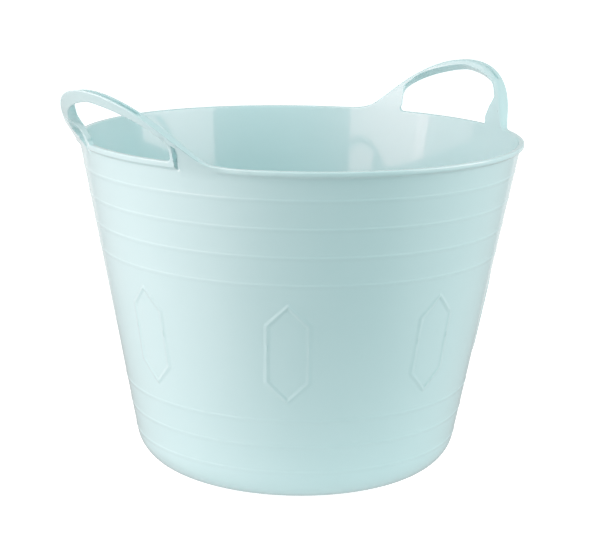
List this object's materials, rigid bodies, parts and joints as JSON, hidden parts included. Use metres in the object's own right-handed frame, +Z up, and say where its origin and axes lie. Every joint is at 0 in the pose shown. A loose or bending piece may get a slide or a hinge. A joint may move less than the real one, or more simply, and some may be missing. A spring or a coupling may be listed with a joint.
{
  "type": "flexible tub",
  "caption": "Round flexible moulded tub with a flared rim, hooped wall with raised hexagons and arched carrying handles that bend, for laundry, toys or garden work.",
  "frame": {"origin": "on the ground under the middle of the tub", "axes": "+Z up out of the tub's mouth, +X from the tub's middle towards the right handle"},
  "size_m": [0.4526, 0.3902, 0.3435],
  "materials": {
    "mint_plastic": "satin"
  },
  "bodies": {
    "tub": {"tub_floor": "mint_plastic", "tub_wall": "mint_plastic", "rim": "mint_plastic"},
    "handle_right": {"handle_right": "mint_plastic"},
    "handle_left": {"handle_left": "mint_plastic"}
  },
  "joints": [
    {"name": "handle_right_flex", "type": "hinge", "parent": "tub", "child": "handle_right", "pos_m": [0.18919, 0, 0.306], "axis": [0, -1, 0], "range_deg": [-25, 60], "stiffness_Nm_per_rad": 2},
    {"name": "handle_left_flex", "type": "hinge", "parent": "tub", "child": "handle_left", "pos_m": [-0.19023, 0, 0.306], "axis": [0, 1, 0], "range_deg": [-25, 60], "stiffness_Nm_per_rad": 2}
  ]
}
